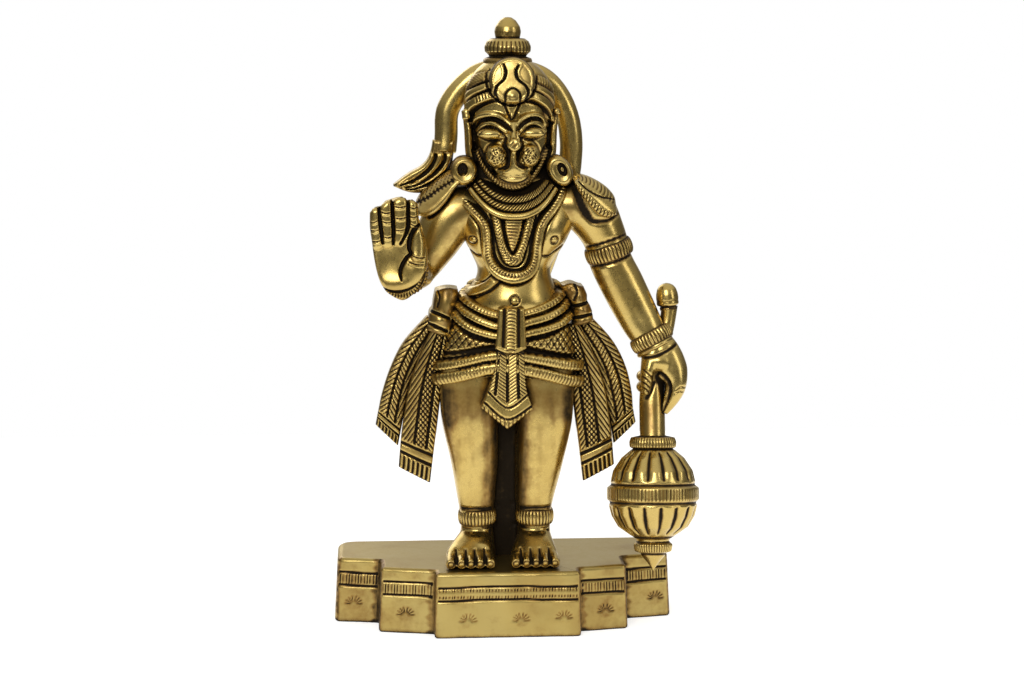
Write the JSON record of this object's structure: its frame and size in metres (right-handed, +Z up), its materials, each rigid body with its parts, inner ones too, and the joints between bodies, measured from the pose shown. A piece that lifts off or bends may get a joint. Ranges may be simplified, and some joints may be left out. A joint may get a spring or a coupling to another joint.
{
  "type": "hanuman figure",
  "caption": "Standing cast brass figure of Hanuman with one palm raised, a fluted mace at the other side and the tail arched over the head, on a low stepped plinth",
  "frame": {"origin": "on the plinth's underside, in the middle of its centre block and of its depth", "axes": "+Z up along the figure's height, -Y the way the figure faces, +X towards its left hand and the mace"},
  "size_m": [0.1003, 0.0413, 0.166],
  "materials": {
    "figure_brass": "polished cast brass, golden on the raised parts, with dark brown to black patina in the recesses",
    "plinth_brass": "satin cast brass with a brown tint on the top, dark engraved lines and punched marks"
  },
  "bodies": {
    "root": {"hanuman_figure": "figure_brass", "plinth": "plinth_brass"}
  },
  "joints": []
}
